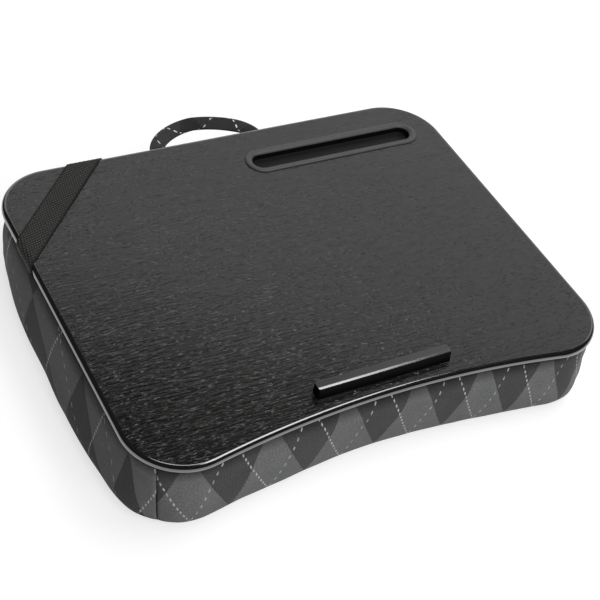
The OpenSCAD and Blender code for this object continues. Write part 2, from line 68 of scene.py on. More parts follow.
class Wire:
    def __init__(self, graph, socket):
        self.graph = graph
        self.socket = socket

    def math(self, operation, *others):
        values = {i + 1: other for i, other in enumerate(others)}
        return self.graph.node("ShaderNodeMath", {"operation": operation}, {0: self, **values})

    def __add__(self, other): return self.math("ADD", other)
    def __radd__(self, other): return self.math("ADD", other)
    def __sub__(self, other): return self.math("SUBTRACT", other)
    def __rsub__(self, other):
        return self.graph.node("ShaderNodeMath", {"operation": "SUBTRACT"}, {0: other, 1: self})

    def __mul__(self, other): return self.math("MULTIPLY", other)
    def __rmul__(self, other): return self.math("MULTIPLY", other)
    def __truediv__(self, other): return self.math("DIVIDE", other)
    def __lt__(self, other): return self.math("LESS_THAN", other)
    def __gt__(self, other): return self.math("GREATER_THAN", other)

    def fromMiddle(self):
        return (self.math("FRACT") - 0.5).math("ABSOLUTE")

    def hump(self):
        return (self.math("FRACT") * math.pi).math("SINE")


class Finish:
    def __init__(self, name):
        self.material = bpy.data.materials.new(name)
        self.material.use_nodes = True
        self.tree = self.material.node_tree
        self.tree.nodes.clear()
        self.shader = self.tree.nodes.new("ShaderNodeBsdfPrincipled")
        output = self.tree.nodes.new("ShaderNodeOutputMaterial")
        self.tree.links.new(self.shader.outputs[0], output.inputs[0])

    def put(self, socket, value):
        if isinstance(value, Wire):
            self.tree.links.new(value.socket, socket)
        else:
            socket.default_value = value

    def node(self, kind, settings=None, links=None, out=0):
        made = self.tree.nodes.new(kind)
        for name, value in (settings or {}).items():
            setattr(made, name, value)
        for name, value in (links or {}).items():
            self.put(made.inputs[name], value)
        return Wire(self, made.outputs[out])

    def blend(self, first, second, factor):
        return self.node("ShaderNodeMix", {"data_type": "RGBA"}, {0: factor, 6: first, 7: second}, 2)

    def shade(self, colour, amount):
        return self.node("ShaderNodeVectorMath", {"operation": "SCALE"}, {0: colour, "Scale": amount})

    def stretch(self, vector, scale):
        return self.node("ShaderNodeMapping", {}, {"Vector": vector, "Scale": scale})

    def coords(self, scale=(1, 1, 1)):
        return self.stretch(self.node("ShaderNodeTexCoord", out="Object"), scale)

    def uv(self):
        return self.node("ShaderNodeUVMap", {"uv_map": "cut"})

    def split(self, vector):
        parts = self.node("ShaderNodeSeparateXYZ", {}, {"Vector": vector}).socket.node.outputs
        return [Wire(self, part) for part in parts]

    def noise(self, vector, size, detail=3.0, rough=0.5):
        return self.node("ShaderNodeTexNoise", {},
                         {"Vector": vector, "Scale": size, "Detail": detail, "Roughness": rough})

    def band(self, value, low, high, start=0.0, stop=1.0):
        return self.node("ShaderNodeMapRange", {"clamp": True},
                         {"Value": value, 1: low, 2: high, 3: start, 4: stop})

    def bump(self, height, distance, strength=1.0, below=None):
        links = {"Height": height, "Distance": distance, "Strength": strength}
        if below is not None:
            links["Normal"] = below
        return self.node("ShaderNodeBump", {}, links)

    def finish(self, **values):
        for name, value in values.items():
            self.put(self.shader.inputs[name.replace("_", " ")], value)
        return self.material


def grey(value):
    return (value, value, value, 1)


# pieces

def newPiece(name, bm, *finishes):
    mesh = bpy.data.meshes.new(name)
    bm.to_mesh(mesh)
    bm.free()
    mesh.shade_smooth()
    piece = bpy.data.objects.new(name, mesh)
    scene.collection.objects.link(piece)
    for finish in finishes:
        mesh.materials.append(finish)
    return piece


def addModifier(piece, kind, **settings):
    modifier = piece.modifiers.new(kind.title(), kind)
    for name, value in settings.items():
        setattr(modifier, name, value)


def vertsOf(geom):
    return [g for g in geom if isinstance(g, bmesh.types.BMVert)]


def edgesOf(geom):
    return [g for g in geom if isinstance(g, bmesh.types.BMEdge)]


def spinVert(bm, vert, centre, angle, steps):
    spun = bmesh.ops.spin(bm, geom=[vert], cent=(centre[0], centre[1], vert.co.z), axis=(0, 0, 1),
                          angle=angle, steps=steps, use_merge=False)
    return vertsOf(spun["geom_last"])[0]


def runVert(bm, vert, target, steps):
    move = (Vector(target) - vert.co.xy) / steps
    for _ in range(steps):
        made = bmesh.ops.extrude_vert_indiv(bm, verts=[vert])
        vert = made["verts"][0]
        vert.co.xy += move
    return vert


# camera, light and floor

view = {
    "place": (-0.52698, -0.69140, 0.78880),
    "azimuth": -37.81, "elevation": 43.95, "roll": 13.86,
    "lens": 80.18, "sensor": 36, "clipStart": 0.01,
}
light = {
    "world": 0.055, "target": (0, 0, 0.05),
    "overhead": 8.0, "overheadSize": (0.9, 0.45), "overheadPlace": (0.55, -0.125, 1.5),
    "corner": 2.6, "cornerSize": (0.65, 0.3), "cornerPlace": (0.0, 0.08, 1.5),
    "sheen": 16.0, "sheenSize": (3.4, 1.4), "sheenPlace": (0.90, 1.27, 0.94),
    "front": 17.0, "frontSize": (1.3, 1.3), "frontPlace": (0.05, -1.35, 1.45),
    "floor": 0.42, "floorGlow": (0.70, 1.0), "floorFade": (0.5, 2.5), "floorShine": 1.15, "floorSize": 40,
}


def makeCamera():
    camera = bpy.data.objects.new("camera", bpy.data.cameras.new("camera"))
    scene.collection.objects.link(camera)
    camera.data.lens = view["lens"]
    camera.data.sensor_width = view["sensor"]
    camera.data.clip_start = view["clipStart"]
    camera.location = Vector(view["place"]) + Vector((0, middleY, topZ))
    look = Euler((math.radians(90 - view["elevation"]), 0, math.radians(view["azimuth"]))).to_quaternion()
    camera.rotation_euler = (look @ Quaternion((0, 0, 1), math.radians(view["roll"]))).to_euler()
    scene.camera = camera


def makeLamp(name, place, size, power):
    lamp = bpy.data.objects.new(name, bpy.data.lights.new(name, "AREA"))
    scene.collection.objects.link(lamp)
    lamp.data.energy = power
    lamp.data.shape = "RECTANGLE"
    lamp.data.size, lamp.data.size_y = size
    lamp.location = place
    aim = Vector(light["target"]) - Vector(place)
    lamp.rotation_euler = aim.to_track_quat("-Z", "Y").to_euler()
    return lamp


def makeStage():
    world = bpy.data.worlds.new("studio")
    scene.world = world
    world.use_nodes = True
    background = world.node_tree.nodes["Background"]
    background.inputs["Color"].default_value = grey(1)
    background.inputs["Strength"].default_value = light["world"]
    for name in ("overhead", "corner", "sheen", "front"):
        lamp = makeLamp(name, light[name + "Place"], light[name + "Size"], light[name])
        # the front lamp only fills, and leaves no highlight on the polished rim
        lamp.visible_glossy = name != "front"

    finish = Finish("pale_floor")
    seen = finish.node("ShaderNodeLightPath", out="Is Camera Ray")
    shine = finish.node("ShaderNodeLightPath", out="Is Glossy Ray")
    away = finish.node("ShaderNodeVectorMath", {"operation": "LENGTH"}, {0: finish.coords()}, "Value")
    pale = finish.band(away, *light["floorFade"], *light["floorGlow"])
    glow = seen * pale + shine * light["floorShine"]
    finish.finish(Base_Color=grey(light["floor"]), Roughness=0.9, Specular_IOR_Level=0.0,
                  Emission_Color=finish.node("ShaderNodeCombineColor", {}, {0: glow, 1: glow, 2: glow}),
                  Emission_Strength=1.0)
    bm = bmesh.new()
    bmesh.ops.create_grid(bm, x_segments=1, y_segments=1, size=light["floorSize"])
    floor = newPiece("floor", bm, finish.material)

    scene.view_settings.view_transform = "Standard"


makeCamera()
makeStage()
print("camera, light and floor are set")


# outline of the desk, which board and cushion share

outline = {
    "backRadius": 0.0515, "frontRadius": 0.051, "dip": 0.0155,
    "straightSteps": 4, "backSteps": 8, "frontSteps": 9, "dipSteps": 12,
}
halfW = (boardHigh.x - boardLow.x) / 2
halfD = (boardHigh.y - boardLow.y) / 2
frontCentre = Vector((halfW - outline["frontRadius"], outline["frontRadius"] - halfD))
backCentre = Vector((halfW - outline["backRadius"], halfD - outline["backRadius"]))
frontRise = outline["frontRadius"] - outline["dip"]
dipRadius = (frontCentre.x ** 2 + frontRise ** 2 - outline["frontRadius"] ** 2) / (2 * outline["dip"])
dipY = outline["dip"] - halfD - dipRadius
dipAngle = math.atan2(frontCentre.x, frontCentre.y - dipY)


def traceOutline(bm, z, fine):
    quarter = math.pi / 2
    straight = outline["straightSteps"]
    backSteps, frontSteps = outline["backSteps"] * fine, outline["frontSteps"] * fine

    def at(x, y):
        return (x, y + middleY)
    vert = bm.verts.new((halfW, frontCentre.y + middleY, z))
    vert = runVert(bm, vert, at(halfW, backCentre.y), straight)
    vert = spinVert(bm, vert, at(*backCentre), quarter, backSteps)
    vert = runVert(bm, vert, at(-backCentre.x, halfD), straight)
    vert = spinVert(bm, vert, at(-backCentre.x, backCentre.y), quarter, backSteps)
    vert = runVert(bm, vert, at(-halfW, frontCentre.y), straight)
    vert = spinVert(bm, vert, at(-frontCentre.x, frontCentre.y), quarter + dipAngle, frontSteps)
    vert = spinVert(bm, vert, at(0, dipY), -2 * dipAngle, outline["dipSteps"] * fine)
    spinVert(bm, vert, at(*frontCentre), quarter + dipAngle, frontSteps)
    bmesh.ops.remove_doubles(bm, verts=bm.verts[:], dist=1e-5)


# board

board = {
    "edge": 0.00393, "edgeSteps": 9, "fine": 4,
    "holeRadius": 0.0105, "holeSteps": 12,
}


def blackGrain():
    finish = Finish("black_grain")
    place = finish.coords()
    wander = finish.noise(finish.coords(scale=(1, 3, 1)), 14, 2)
    warped = finish.node("ShaderNodeVectorMath", {"operation": "ADD"},
                         {0: place, 1: finish.node("ShaderNodeCombineXYZ", {}, {"Y": (wander - 0.5) * 0.006})})
    pore = finish.noise(finish.stretch(warped, (45, 480, 45)), 1, 2, 0.6)
    fleck = finish.noise(finish.stretch(warped, (120, 760, 120)), 1, 1)
    cloud = finish.noise(place, 9, 3)
    # the grain is pressed deeper towards the front left corner
    x, y = finish.split(place)[:2]
    slope = x + y * 1.6 + (cloud - 0.5) * 0.3
    pressed = finish.band(slope, -0.45, 0.25, 1.0, 0.35)
    depth = finish.band(pore, 0.36, 0.64)
    tone = finish.blend((0.0032, 0.0028, 0.0025, 1), (0.0105, 0.0100, 0.0096, 1), depth)
    height = depth * 0.5 + finish.band(fleck, 0.56, 0.66) * 2.2
    return finish.finish(
        Base_Color=tone, Roughness=finish.band(cloud, 0.3, 0.7, 0.12, 0.16) + depth * 0.02,
        Normal=finish.bump(height * pressed, 0.00014, 0.9), Specular_IOR_Level=0.5)


def polishedRim():
    finish = Finish("polished_rim")
    place = finish.coords()
    wave = finish.noise(place, 60, 2)
    return finish.finish(
        Base_Color=grey(0.004), Roughness=finish.band(wave, 0.3, 0.7, 0.08, 0.13), IOR=2.0,
        Normal=finish.bump(wave, 0.0002, 0.25))


def makeBoard():
    bm = bmesh.new()
    traceOutline(bm, underZ, board["fine"])
    slotY = (trayLow.y + trayHigh.y) / 2
    reach = (trayHigh.y - trayLow.y) / 2
    radius = board["holeRadius"]
    left, right = trayLow.x + reach, trayHigh.x - reach
    vert = bm.verts.new((right, slotY - radius, underZ))
    vert = spinVert(bm, vert, (right, slotY), math.pi, board["holeSteps"])
    vert = runVert(bm, vert, (left, slotY + radius), 1)
    vert = spinVert(bm, vert, (left, slotY), math.pi, board["holeSteps"])
    runVert(bm, vert, (right, slotY - radius), 1)
    bmesh.ops.remove_doubles(bm, verts=bm.verts[:], dist=1e-5)
    bmesh.ops.triangle_fill(bm, use_beauty=True, use_dissolve=False, edges=bm.edges[:])
    top = bmesh.ops.extrude_face_region(bm, geom=bm.faces[:])
    bmesh.ops.translate(bm, verts=vertsOf(top["geom"]), vec=(0, 0, topZ - underZ))
    bmesh.ops.recalc_face_normals(bm, faces=bm.faces[:])

    def onOutline(edge):
        a, b = edge.verts
        flat = abs(a.co.z - b.co.z) < 1e-6
        inSlot = all(trayLow.x < v.co.x < trayHigh.x and trayLow.y < v.co.y < trayHigh.y for v in edge.verts)
        return flat and not inSlot and edge.calc_face_angle(0) > 1
    rim = [e for e in bm.edges if onOutline(e)]
    bmesh.ops.bevel(bm, geom=rim, offset=board["edge"], offset_type="OFFSET", segments=board["edgeSteps"],
                    profile=0.5, affect="EDGES", clamp_overlap=False, material=-1)
    for face in bm.faces:
        face.material_index = 0 if abs(face.normal.z) > 0.9999 else 1
    piece = newPiece("board", bm, blackGrain(), polishedRim())
    piece.data.set_sharp_from_angle(angle=math.radians(50))
    addModifier(piece, "WEIGHTED_NORMAL", keep_sharp=True, weight=100)
    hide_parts("top_board")
    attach(piece, "desk")


makeBoard()
print("board is made")


# cushion cover, four bands and a bottom panel

cushion = {
    "corner": 0.0026, "side": 0.0100, "front": 0.0015, "back": 0.0040,
    "slack": 0.0030, "tuck": 0.0040, "bottomRound": 0.026, "square": 0.45,
    "widest": 0.32, "crown": 0.0022, "flat": 0.0005,
    "valley": 0.009, "endValley": 0.0025, "valleyHalf": 0.014,
    "rows": 18, "alongFront": 74, "alongSide": 59,
    "cap": 0.0065, "frames": 20, "nearHold": 0.6,
    "full": 0.92, "fullFrom": 0.2, "fullRun": 0.38,
    "lump": 0.0009, "smallLump": 0.0003, "stationStep": 0.0057,
    "pull": 0.0013, "fold": 0.0019, "puckerRun": 0.018, "dent": 0.0006, "dentRun": 0.004,
    "gather": 0.0007, "gatherRows": 5,
    "seamGap": 0.00042, "seamTurn": 0.0030, "clothThick": 0.0011, "seamLean": 0.15, "leanStations": 7,
    "lowFrom": 0.6, "rest": 0.0006, "turnedLift": 0.0006, "crease": 0.75,
}
swelling = {
    "quality": 6, "mass": 0.3, "tension_stiffness": 12, "compression_stiffness": 6, "shear_stiffness": 4,
    "bending_stiffness": 0.3, "vertex_group_mass": "held", "pin_stiffness": 5,
    "use_pressure": True, "uniform_pressure_force": 4.0,
}
# how much fuller the worn cover is low down than the solid
fuller = {
    "front": 0.001, "frontMore": 0.0025, "frontAlong": 0.5, "frontHalf": 0.25, "back": -0.006,
    "side": -0.006, "sideMore": ((0.005, -0.85, 0.45), (0.002, -0.2, 0.6)),
}
cloth = {
    "light": (0.215, 0.217, 0.219, 1), "dark": (0.094, 0.092, 0.095, 1), "stitch": (0.85, 0.85, 0.86, 1),
    "half": 0.034, "tall": 0.058, "centre": 0.055, "line": 0.0011, "paintedRimShadow": 0.013, "paintedRimShadowTone": 0.2,
    "dashes": ((0.2, 0.38), (0.135, 0.5)),
    "frontRun": (14.75, 5.7, -0.43), "frontDeep": 3,
    "slantOne": (-1, 0.019685, 2.616e-5), "marks": (-49.3, 52.3),
    "slantTwo": (3, 0.0135, 5.89e-5, 7.74e-8), "bendFrom": -8.4, "slantDown": (35, 0.03),
    "cornerOne": (13, 0.015, 125, 30), "cornerTwo": (21, 0.024, 118, 25),
}


def arcLine(centre, radius, start, stop, steps, sign=1):
    points = []
    for i in range(steps + 1):
        a = start + (stop - start) * i / steps
        out = Vector((math.cos(a), math.sin(a)))
        points.append((Vector(centre) + out * radius, out * sign))
    return points


def straightLine(start, stop, out, steps):
    return [(Vector(start).lerp(Vector(stop), i / steps), Vector(out)) for i in range(steps + 1)]


def panelLines():
    deg = math.radians
    front, back = outline["frontRadius"], outline["backRadius"]
    leftFront = (-frontCentre.x, frontCentre.y)
    leftBack = (-backCentre.x, backCentre.y)
    lines = {
        "back": arcLine(backCentre, back, deg(45), deg(90), 7)[:-1]
        + straightLine((backCentre.x, halfD), (-backCentre.x, halfD), (0, 1), 60)[:-1]
        + arcLine(leftBack, back, deg(90), deg(135), 7),
        "left": arcLine(leftBack, back, deg(135), deg(180), 7)[:-1]
        + straightLine((-halfW, backCentre.y), (-halfW, frontCentre.y), (-1, 0), 44)[:-1]
        + arcLine(leftFront, front, deg(180), deg(225), 8),
        "front": arcLine(leftFront, front, deg(225), deg(270) + dipAngle, 9)[:-1]
        + arcLine((0, dipY), dipRadius, deg(90) + dipAngle, deg(90) - dipAngle, 56, -1)[:-1]
        + arcLine(frontCentre, front, deg(270) - dipAngle, deg(315), 9),
    }
    lines["right"] = [(Vector((-p.x, p.y)), Vector((-n.x, n.y))) for p, n in reversed(lines["left"])]
    return lines


def easeIn(share):
    share = min(1.0, max(0.0, share))
    return share * share * (3 - 2 * share)


def fullerAt(panel, along):
    if panel == "front":
        far = (abs(along) - fuller["frontAlong"]) / fuller["frontHalf"]
        return fuller["front"] + fuller["frontMore"] * math.exp(-far ** 2)
    if panel == "back":
        return fuller["back"] * abs(along) ** 8
    ahead = along if panel == "left" else -along
    return fuller["side"] + sum(more * easeIn((ahead - start) / run) for more, start, run in fuller["sideMore"])


panels = ["back", "left", "front", "right"]
lines = panelLines()
stations = []
panelStart = {}
for panel in panels:
    panelStart[panel] = len(stations)
    points = [p for p, n in lines[panel]]
    runs = [0]
    for a, b in zip(points, points[1:]):
        runs.append(runs[-1] + (b - a).length)
    bulge = panel if panel in ("front", "back") else "side"
    for i, (p, n) in enumerate(lines[panel][:-1]):
        along = 2 * runs[i] / runs[-1] - 1
        straight = max(0.0, 1 - (abs(along) / 0.8) ** 2.6) if bulge != "front" else max(0.0, 1 - along * along)
        swell = cushion["corner"] + (cushion[bulge] - cushion["corner"]) * straight
        stations.append({"place": p, "out": n, "panel": panel, "swell": swell,
                         "fuller": fullerAt(panel, along), "run": runs[i] - runs[-1] / 2})
ringCount = len(stations)


def coverProfile(swell):
    height = liningLow.z
    widestZ = cushion["widest"] * underZ
    seamZ = cushion["crown"] - cushion["flat"]
    points = []
    for i in range(41):
        up = i / 40
        out = (swell + cushion["tuck"]) * math.sin(math.pi / 2 * up) ** 0.9 - cushion["tuck"]
        points.append(Vector((out, height + (widestZ - height) * up)))
    for i in range(1, 41):
        a = math.pi / 2 * i / 40
        out = swell - cushion["bottomRound"] * (1 - max(math.cos(a), 0) ** cushion["square"])
        points.append(Vector((out, widestZ + (seamZ - widestZ) * math.sin(a) ** cushion["square"])))
    return evenly(points, cushion["rows"])


def evenly(points, count):
    runs = [0]
    for a, b in zip(points, points[1:]):
        runs.append(runs[-1] + (b - a).length)
    made = []
    k = 0
    for i in range(count + 1):
        want = runs[-1] * i / count
        while k < len(points) - 2 and runs[k + 1] < want:
            k += 1
        share = (want - runs[k]) / (runs[k + 1] - runs[k])
        made.append(points[k].lerp(points[k + 1], min(1, share)))
    return made


def valleyAt(x, height):
    return height * math.exp(-(x / cushion["valleyHalf"]) ** 2)


def stationsFrom(index, seams):
    gaps = [abs(index - panelStart[seam]) for seam in seams]
    return min(min(gap, ringCount - gap) for gap in gaps)


def coverPoint(index, row, profiles):
    index %= ringCount
    station = stations[index]
    out, z = profiles[index][row]
    flat = station["place"] + station["out"] * out
    # the corner seams lean a little to the front as they go down
    gap = stationsFrom(index, ("front", "right"))
    lean = cushion["seamLean"] * (underZ - z) * math.exp(-(gap / cushion["leanStations"]) ** 2)
    along = Vector((-station["out"].y, station["out"].x))
    flat += along * (lean if flat.x < 0 else -lean)
    low = max(0.0, (row / cushion["rows"] - cushion["lowFrom"]) / (1 - cushion["lowFrom"]))
    return Vector((flat.x, flat.y + middleY, z + valleyAt(flat.x, cushion["endValley"]) * low ** 2))


def coverBlank():
    rows, wide, deep = cushion["rows"], cushion["alongFront"], cushion["alongSide"]
    profiles = [coverProfile(s["swell"] - cushion["slack"]) for s in stations]
    bm = bmesh.new()
    bmesh.ops.create_grid(bm, x_segments=wide, y_segments=deep, size=1)
    spot = bm.verts.layers.int.new("spot")
    row = bm.verts.layers.int.new("row")
    start = panelStart

    def rim(index):
        return coverPoint(index, rows, profiles)
    for vert in bm.verts:
        i = round((vert.co.x + 1) / 2 * wide)
        j = round((vert.co.y + 1) / 2 * deep)
        front = start["front"] + i
        back = start["left"] - i
        left = start["front"] - j
        right = start["right"] + j
        u, v = i / wide, j / deep
        vert[row] = rows
        vert[spot] = -1
        if j == 0:
            vert[spot] = front % ringCount
        elif j == deep:
            vert[spot] = back % ringCount
        elif i == 0:
            vert[spot] = left % ringCount
        elif i == wide:
            vert[spot] = right % ringCount
        if vert[spot] >= 0:
            vert.co = rim(vert[spot])
            continue
        across = rim(front).lerp(rim(back), v) + rim(left).lerp(rim(right), u)
        corners = (rim(start["front"]).lerp(rim(start["right"]), u)
                   .lerp(rim(start["left"]).lerp(rim(start["back"]), u), v))
        flat = across - corners
        s, w = 2 * u - 1, 2 * v - 1
        edge = 1 - (1 - s ** 6) * (1 - w ** 6)
        groove = cushion["endValley"] + (cushion["valley"] - cushion["endValley"]) * (1 - w ** 4)
        z = max(cushion["rest"], cushion["crown"] * edge - cushion["flat"] + valleyAt(flat.x, groove))
        vert.co = (flat.x, flat.y, z)
    for level in range(rows - 1, -1, -1):
        ring = [e for e in bm.edges if len(e.link_faces) == 1]
        made = bmesh.ops.extrude_edge_only(bm, edges=ring)
        for vert in vertsOf(made["geom"]):
            vert[row] = level
            vert.co = coverPoint(vert[spot], level, profiles)
    bmesh.ops.recalc_face_normals(bm, faces=bm.faces[:])
    if sum(f.normal.z for f in bm.faces if all(v[spot] < 0 for v in f.verts)) > 0:
        bmesh.ops.reverse_faces(bm, faces=bm.faces[:])
    return bm, spot, row


def swellCover(bm, spot, row):
    mesh = bpy.data.meshes.new("blank")
    bm.verts.index_update()
    bm.to_mesh(mesh)
    blank = bpy.data.objects.new("blank", mesh)
    scene.collection.objects.link(blank)
    held = blank.vertex_groups.new(name="held")
    inside = [v.index for v in bm.verts if v[spot] < 0]
    top = [v.index for v in bm.verts if v[spot] >= 0 and v[row] == 0]
    near = [v.index for v in bm.verts if v[spot] >= 0 and v[row] == cushion["rows"]]
    held.add(inside + top, 1.0, "REPLACE")
    held.add(near, cushion["nearHold"], "REPLACE")
    modifier = blank.modifiers.new("cloth", "CLOTH")
    for name, value in swelling.items():
        setattr(modifier.settings, name, value)
    modifier.settings.effector_weights.gravity = 0
    modifier.collision_settings.use_collision = False
    modifier.collision_settings.use_self_collision = False
    modifier.point_cache.frame_start = 1
    modifier.point_cache.frame_end = cushion["frames"]
    for step in range(1, cushion["frames"] + 1):
        scene.frame_set(step)
    swollen = blank.evaluated_get(bpy.context.evaluated_depsgraph_get()).data
    moves = [v.co - mesh.vertices[v.index].co for v in swollen.vertices]
    scene.frame_set(1)
    bpy.data.objects.remove(blank)
    widest = 0
    for vert, move in zip(bm.verts, moves):
        if move.length > cushion["cap"]:
            move = move * cushion["cap"] / move.length
        widest = max(widest, move.length)
        vert.co += move
        vert.co.z = max(cushion["rest"], vert.co.z)
    print("cover swelled by up to", round(widest * 1000, 1), "mm")


def fillLowEdge(bm, spot, row):
    full = [coverProfile(s["swell"] + s["fuller"]) for s in stations]
    for vert in bm.verts:
        if vert[spot] >= 0:
            share = easeIn((vert[row] / cushion["rows"] - cushion["fullFrom"]) / cushion["fullRun"])
            vert.co = vert.co.lerp(coverPoint(vert[spot], vert[row], full), share * cushion["full"])


def panelOf(spots):
    low, high = min(spots), max(spots)
    first = high if high - low > ringCount / 2 else low
    return stations[first]["panel"]


def shapeCover(bm, spot, row):
    bm.normal_update()
    for vert in bm.verts:
        x, y, z = vert.co
        move = noise.noise(vert.co * 26) * cushion["lump"]
        move += noise.noise(vert.co * 70 + Vector((3, 1, 7))) * cushion["smallLump"]
        index, level = vert[spot], vert[row]
        if index >= 0:
            # puckers run out from the seams, and gathers down from the board
            gap = stationsFrom(index, panels) * cushion["stationStep"]
            pull = noise.noise(Vector((z * 110, gap * 50, index * 0.01))) * cushion["pull"]
            fold = noise.noise(Vector((z * 30, gap * 190, 9.0))) * cushion["fold"]
            move += (pull + fold) * math.exp(-gap / cushion["puckerRun"])
            move -= cushion["dent"] * math.exp(-(gap / cushion["dentRun"]) ** 2)
            if 0 < level < cushion["gatherRows"]:
                gather = noise.noise(Vector((x * 130, y * 130, 5.0))) * cushion["gather"]
                move += gather * (1 - level / cushion["gatherRows"])
            if level == 0:
                move = 0
        vert.co += vert.normal * move
        vert.co.z = max(cushion["rest"], vert.co.z)


def clothAt(panel, run, depth):
    # where a spot of the band lies on the cloth it was cut from; the side bands are cut at a slant
    half, tall = cloth["half"], cloth["tall"]
    if panel in ("front", "back"):
        rate, bend, start = cloth["frontRun"]
        below = depth - cloth["centre"]
        return 2 * half * (run * rate + run * run * bend + start), below + cloth["frontDeep"] * below * below
    u = run * 1000 if panel == "left" else -run * 1000
    start, rate, bend = cloth["slantOne"]
    first, second = cloth["marks"]
    a = start + rate * (u - first) + bend * (u - first) * (u - second)
    start, rate, bend, twist = cloth["slantTwo"]
    x = u - cloth["bendFrom"]
    fall, level = cloth["slantDown"]
    b = start + rate * x - fall * (depth - level)
    if x > 0:
        b += bend * x * x + twist * x ** 3

    def towardsCorner(amount, level, begin, reach):
        return amount * (depth - level) * easeIn((u - begin) / reach)
    a += towardsCorner(*cloth["cornerOne"])
    b += towardsCorner(*cloth["cornerTwo"])
    return half * (a + b) / 2 * (1 if panel == "left" else -1), tall * (b - a) / 2


def markPanels(bm, spot, row):
    # each face gets its panel's number and its place on the flat cloth
    uv = bm.loops.layers.uv.new("cut")
    owner = bm.faces.layers.int.new("owner")
    rowStep = []
    for station in stations:
        profile = coverProfile(station["swell"])
        rowStep.append(sum((b - a).length for a, b in zip(profile, profile[1:])) / cushion["rows"])
    for face in bm.faces:
        spots = [v[spot] for v in face.verts if v[spot] >= 0]
        onBottom = len(spots) < 4 or all(v[row] == cushion["rows"] for v in face.verts)
        if onBottom:
            face[owner] = 4
            for loop in face.loops:
                loop[uv].uv = loop.vert.co.xy
            continue
        panel = panelOf(spots)
        face[owner] = panels.index(panel)
        last = panelStart[panels[(face[owner] + 1) % 4]]
        for loop in face.loops:
            index = loop.vert[spot]
            run = -stations[panelStart[panel]]["run"] if index == last else stations[index]["run"]
            loop[uv].uv = clothAt(panel, run, loop.vert[row] * rowStep[index])


def turnHem(part):
    # a panel's raw edge is drawn back from the seam and turned inward
    crease = part.edges.layers.float.new("crease_edge")
    rim = [e for e in part.edges if len(e.link_faces) == 1]
    rimVerts = {v for e in rim for v in e.verts}
    inward = {}
    for vert in rimVerts:
        inner = [e.other_vert(vert).co for e in vert.link_edges if len(e.link_faces) == 2]
        inward[vert] = sum(((co - vert.co).normalized() for co in inner), Vector()).normalized()
    normals = {v: v.normal.copy() for v in rimVerts}
    for vert in rimVerts:
        vert.co += inward[vert] * cushion["seamGap"]
    for edge in rim:
        edge[crease] = cushion["crease"]
    made = bmesh.ops.extrude_edge_only(part, edges=rim)
    for vert in vertsOf(made["geom"]):
        source = next(e.other_vert(vert) for e in vert.link_edges if e.other_vert(vert) in rimVerts)
        vert.co = vert.co - normals[source] * cushion["seamTurn"]
        vert.co.z = max(cushion["rest"] + cushion["turnedLift"], vert.co.z)


def cutPanels(bm, spot, row):
    bm.normal_update()
    markPanels(bm, spot, row)
    argyle, base = argyleCloth("argyle_cloth", cloth["light"], cloth["dark"], paintedRimShadow=cloth["paintedRimShadowTone"]), baseCloth()
    names = ["back_band_cover", "left_band_cover", "front_band_cover", "right_band_cover", "bottom_cover"]
    replaced = [["back_band"], ["left_band", "left_bolster_fill"], ["front_band", "centre_divider"],
                ["right_band", "right_bolster_fill"], ["bottom_panel"]]
    for number, name in enumerate(names):
        part = bm.copy()
        mine = part.faces.layers.int["owner"]
        bmesh.ops.delete(part, geom=[f for f in part.faces if f[mine] != number], context="FACES")
        loose = [v for v in part.verts if not v.link_faces]
        bmesh.ops.delete(part, geom=loose, context="VERTS")
        turnHem(part)
        piece = newPiece(name, part, base if number == 4 else argyle)
        addModifier(piece, "SOLIDIFY", thickness=cushion["clothThick"], offset=-1)
        addModifier(piece, "SUBSURF", levels=1, render_levels=1)
        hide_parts(*replaced[number])
        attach(piece, "desk")


def argyleCloth(name, light, dark, size=1.0, line=1.0, paintedRimShadow=1.0):
    finish = Finish(name)
    half, tall = cloth["half"] * size, cloth["tall"] * size
    place = finish.uv()
    u, v = finish.split(place)[:2]
    fuzz = (finish.noise(place, 700, 1) - 0.5) * 0.05
    a = u / half + v / tall
    b = u / half - v / tall
    # two sets of slanted strips cross in diamonds; every second one is dark
    cell = ((a + fuzz + 1) * 0.5).math("FLOOR") + ((b + fuzz + 1) * 0.5).math("FLOOR")
    odd = (cell * 0.5).math("FRACT") > 0.25
    steep = half * tall / math.hypot(half, tall)

    def dashes(across, along, pitch, share):
        near = (across * 0.5 + 0.5).fromMiddle() * (2 * steep)
        step = (along / pitch * size).fromMiddle()
        wide = cloth["line"] * line
        return (finish.band(near, wide * 0.45, wide * 0.75, 1, 0)
                * finish.band(step, share * 0.42, share * 0.58, 1, 0))
    worn = finish.band(finish.noise(place, 240, 2), 0.35, 0.6, 0.45, 1.0)
    rare, close = cloth["dashes"]
    stitch = (dashes(a, b, *rare) * 0.7).math("MAXIMUM", dashes(b, a, *close)) * worn
    warp = ((u * 2600).math("SINE") + (v * 2600).math("SINE")) * 0.25 + 0.5
    grain = finish.noise(place, 620, 3, 0.75)
    patch = finish.noise(place, 45, 2)
    shade = finish.band(grain, 0.25, 0.75, 0.66, 1.34) * finish.band(patch, 0.3, 0.7, 0.93, 1.07)
    # painted shadow: the cloth is darkened towards the top, where it tucks in under the board's rim
    high = finish.split(finish.coords())[2]
    shade = shade * finish.band(high, underZ - cloth["paintedRimShadow"], underZ, 1.0, paintedRimShadow)
    toned = finish.shade(finish.blend(light, dark, odd), shade)
    height = warp * 0.5 + grain * 0.7 + stitch * 0.8
    wadding = finish.bump(finish.noise(place, 24, 2), 0.004, 0.4)
    return finish.finish(
        Base_Color=finish.blend(toned, cloth["stitch"], stitch), Roughness=0.88, Specular_IOR_Level=0.25,
        Sheen_Weight=0.1, Sheen_Roughness=0.5, Normal=finish.bump(height, 0.0003, 0.55, wadding))


